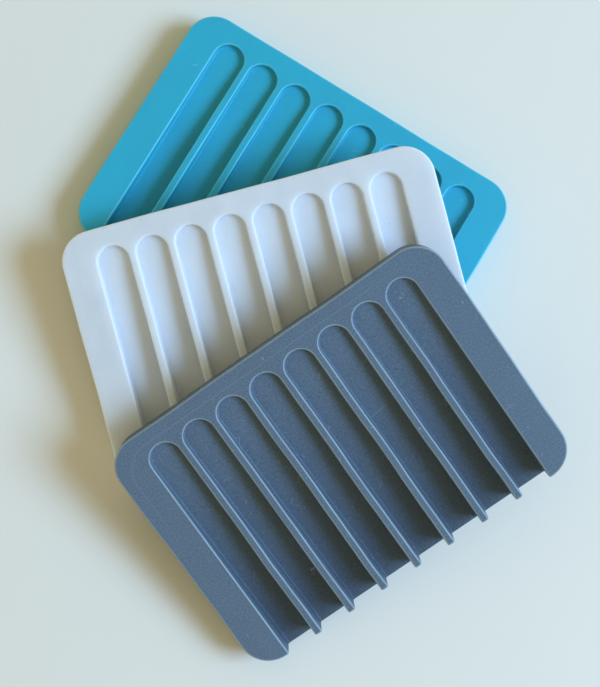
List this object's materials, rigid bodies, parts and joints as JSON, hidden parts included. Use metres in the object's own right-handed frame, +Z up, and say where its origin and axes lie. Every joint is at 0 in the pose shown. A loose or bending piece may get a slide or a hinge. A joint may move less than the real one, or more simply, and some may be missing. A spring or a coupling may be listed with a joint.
{
  "type": "self-draining silicone soap tray set",
  "caption": "Fanned set of soft silicone soap trays with sloping drain channels between thin ribs, closed at the back and open at the front.",
  "frame": {"origin": "centre of the lowest tray's flat underside, on the surface that the set stands on", "axes": "+Z up, +X along the lowest tray's long side, +Y towards its closed back"},
  "size_m": [0.1649, 0.164, 0.0441],
  "materials": {
    "blue_silicone": "matt moulded silicone",
    "white_silicone": "matt moulded silicone",
    "grey_silicone": "matt moulded silicone"
  },
  "bodies": {
    "blue": {"blue_tray": "blue_silicone"},
    "white": {"white_tray": "white_silicone"},
    "grey": {"grey_tray": "grey_silicone"}
  },
  "joints": [
    {"name": "white_lift", "type": "slide", "parent": "blue", "child": "white", "axis": [0, 0, 1], "range_m": [0, 0.06]},
    {"name": "grey_lift", "type": "slide", "parent": "white", "child": "grey", "axis": [0, 0, 1], "range_m": [0, 0.06]}
  ]
}
